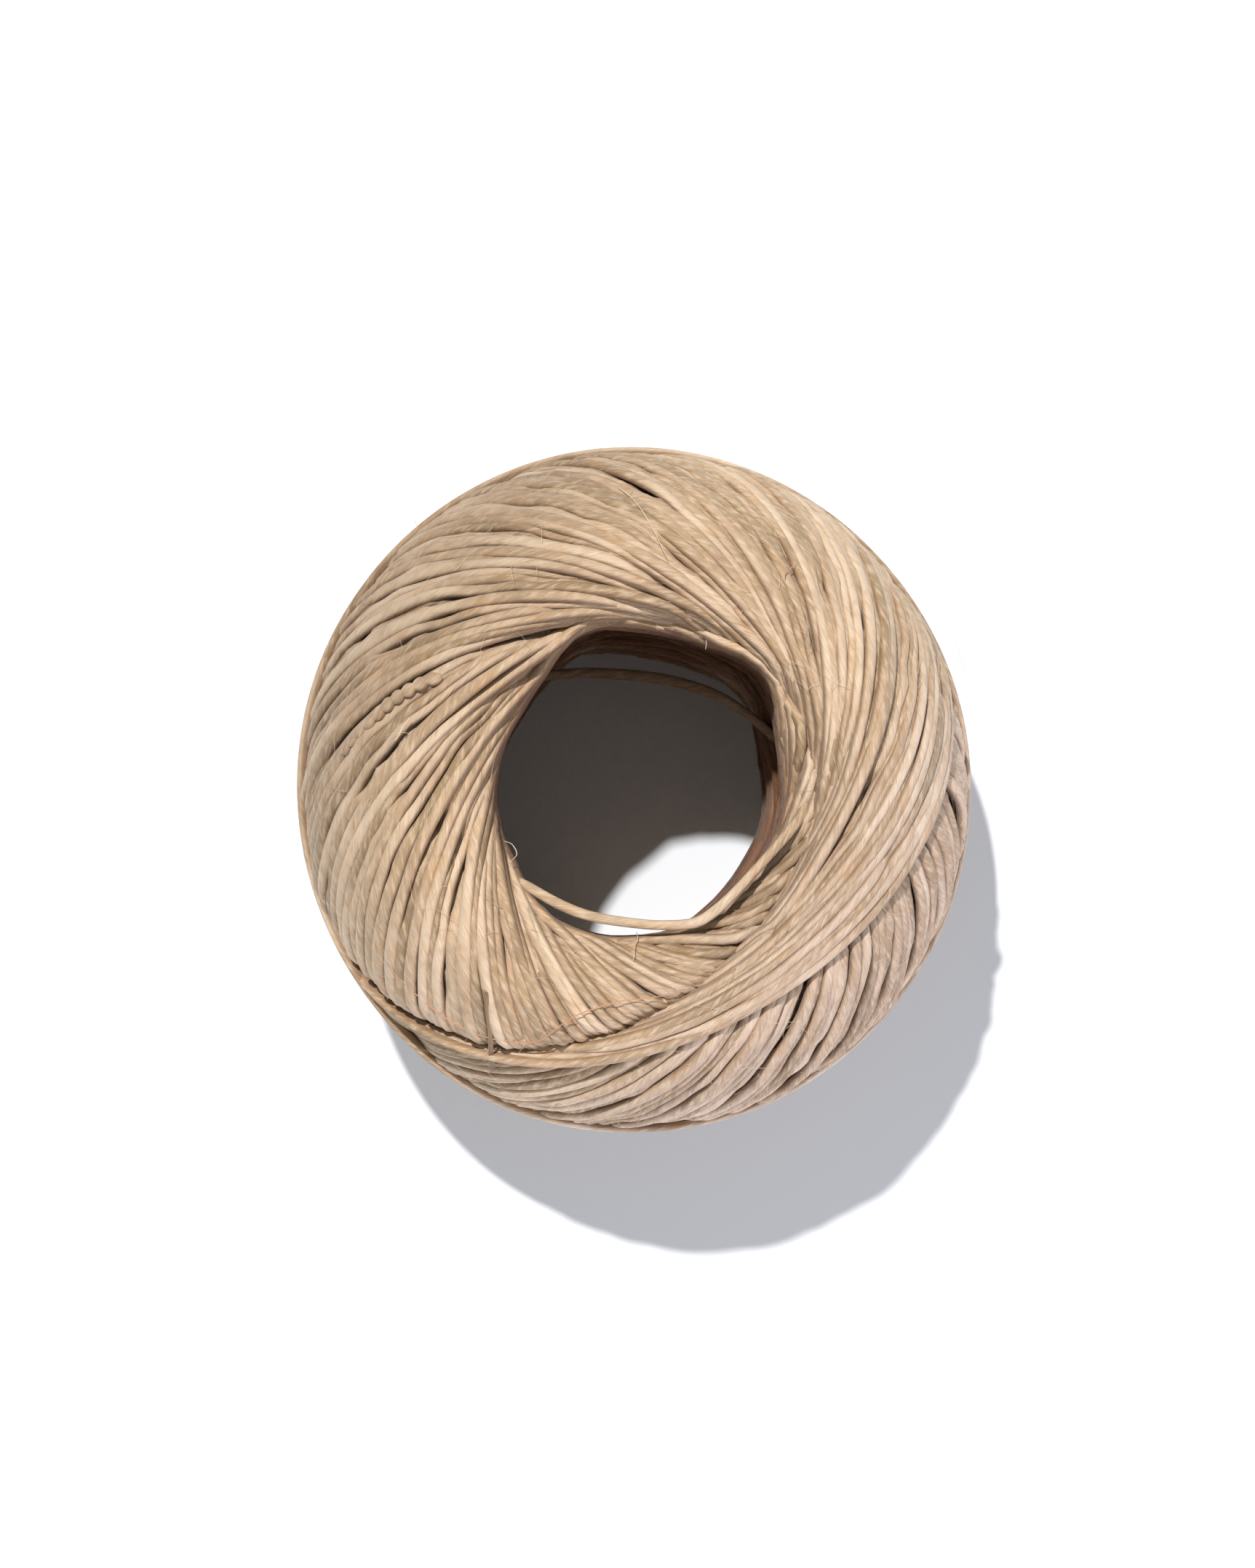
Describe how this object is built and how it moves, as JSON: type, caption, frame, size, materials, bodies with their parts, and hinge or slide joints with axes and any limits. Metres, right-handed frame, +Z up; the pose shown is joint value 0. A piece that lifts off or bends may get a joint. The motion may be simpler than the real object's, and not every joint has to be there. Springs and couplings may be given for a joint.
{
  "type": "ball of hemp twine",
  "caption": "Round ball of natural hemp twine, wound on a slant round an open hole, with slack turns of twine crossing the hole.",
  "frame": {"origin": "on the surface that the ball stands on, below the middle of the ball", "axes": "+Z up along the axis of the hole"},
  "size_m": [0.0796, 0.079, 0.0584],
  "materials": {
    "hemp_twine": "unbleached hemp fibre, lightly twisted, dull with a faint polish on the high turns"
  },
  "bodies": {
    "root": {"wound_body": "hemp_twine", "slack_turn_far": "hemp_twine", "slack_turn_near": "hemp_twine"}
  },
  "joints": []
}
